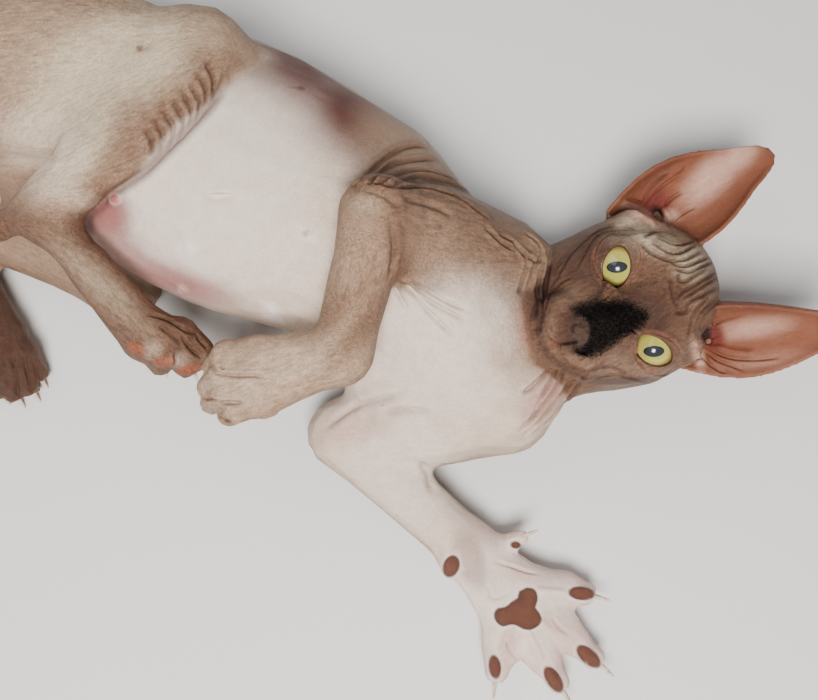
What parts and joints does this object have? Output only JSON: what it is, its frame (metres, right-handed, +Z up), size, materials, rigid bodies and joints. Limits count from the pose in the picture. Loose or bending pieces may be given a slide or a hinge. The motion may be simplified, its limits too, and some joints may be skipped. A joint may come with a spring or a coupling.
{
  "type": "sphynx cat",
  "caption": "Life-size hairless sphynx cat lying on its side and back with the belly and face turned up, one foreleg stretched out palm up.",
  "frame": {"origin": "middle of the footprint, on the floor the cat lies on", "axes": "+Z up from the floor, +X from the rump to the head along the body's length, +Y to the cat's right side"},
  "size_m": [0.5158, 0.3446, 0.1256],
  "materials": {
    "skin": "satin",
    "eye": "gloss"
  },
  "bodies": {
    "root": {"head": "skin", "ear_right": "skin", "ear_left": "skin", "eye_right": "eye", "eye_left": "eye", "neck": "skin", "chest": "skin", "belly": "skin", "rump": "skin", "upper_arm_right": "skin", "forearm_right": "skin", "forepaw_right": "skin", "upper_arm_left": "skin", "forearm_left": "skin", "forepaw_left": "skin", "thigh_right": "skin", "shin_right": "skin", "hind_foot_right": "skin", "thigh_left": "skin", "shin_left": "skin", "hind_foot_left": "skin", "tail_base": "skin", "tail_middle": "skin", "tail_tip": "skin"}
  },
  "joints": []
}
